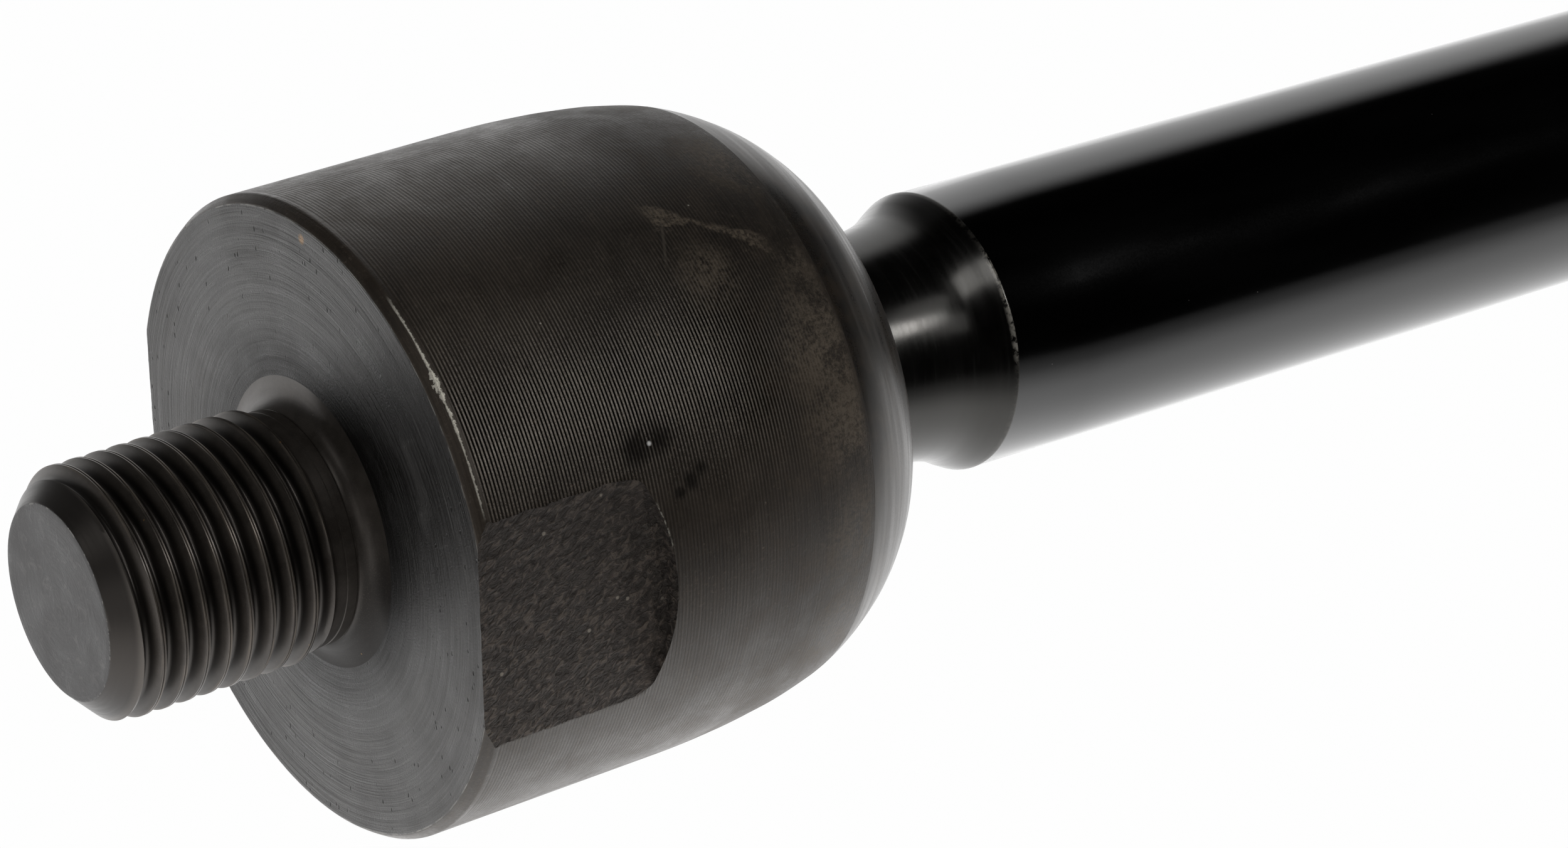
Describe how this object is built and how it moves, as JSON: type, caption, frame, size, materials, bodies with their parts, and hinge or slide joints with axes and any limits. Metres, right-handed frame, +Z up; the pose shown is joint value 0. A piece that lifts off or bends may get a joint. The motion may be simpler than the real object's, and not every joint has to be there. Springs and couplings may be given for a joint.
{
  "type": "inner tie rod end",
  "caption": "Inner tie rod end for a steering rack: threaded stud, round ball socket housing with wrench flats, swivelling rod with outer thread and lock nut.",
  "frame": {"origin": "centre of the threaded stud's end face, on the housing's axis", "axes": "+X along the housing's axis from the stud to the mouth, +Z up as the part lies on a bench, wrench flats facing -Y and +Y"},
  "size_m": [0.3451, 0.0412, 0.0412],
  "materials": {
    "phosphated_steel": "satin",
    "spring_steel": "satin",
    "washer_steel": "satin",
    "seat_polymer": "matt",
    "ball_steel": "polished",
    "black_rod": "gloss",
    "nut_zinc": "satin"
  },
  "bodies": {
    "housing": {"socket_housing": "phosphated_steel", "disc_spring": "spring_steel", "thrust_washer": "washer_steel", "closing_ring": "washer_steel"},
    "seats": {"front_ball_seat": "seat_polymer", "rear_ball_seat": "seat_polymer"},
    "ball": {"ball": "ball_steel"},
    "rod": {"tie_rod_shaft": "black_rod"},
    "jam_nut": {"jam_nut": "nut_zinc"}
  },
  "joints": [
    {"name": "swing_direction", "type": "hinge", "parent": "housing", "child": "seats", "pos_m": [0.0415, 0, 0], "axis": [1, 0, 0], "continuous": true},
    {"name": "swing", "type": "hinge", "parent": "seats", "child": "ball", "pos_m": [0.0415, 0, 0], "axis": [0, 1, 0], "range_deg": [-25.5, 22.4]},
    {"name": "rod_spin", "type": "hinge", "parent": "ball", "child": "rod", "pos_m": [0.0415, 0, 0], "axis": [0.9996, 0, -0.0275], "continuous": true},
    {"name": "jam_nut_travel", "type": "slide", "parent": "rod", "child": "jam_nut", "axis": [0.9996, 0, -0.0275], "range_m": [-0.015, 0.04]}
  ]
}
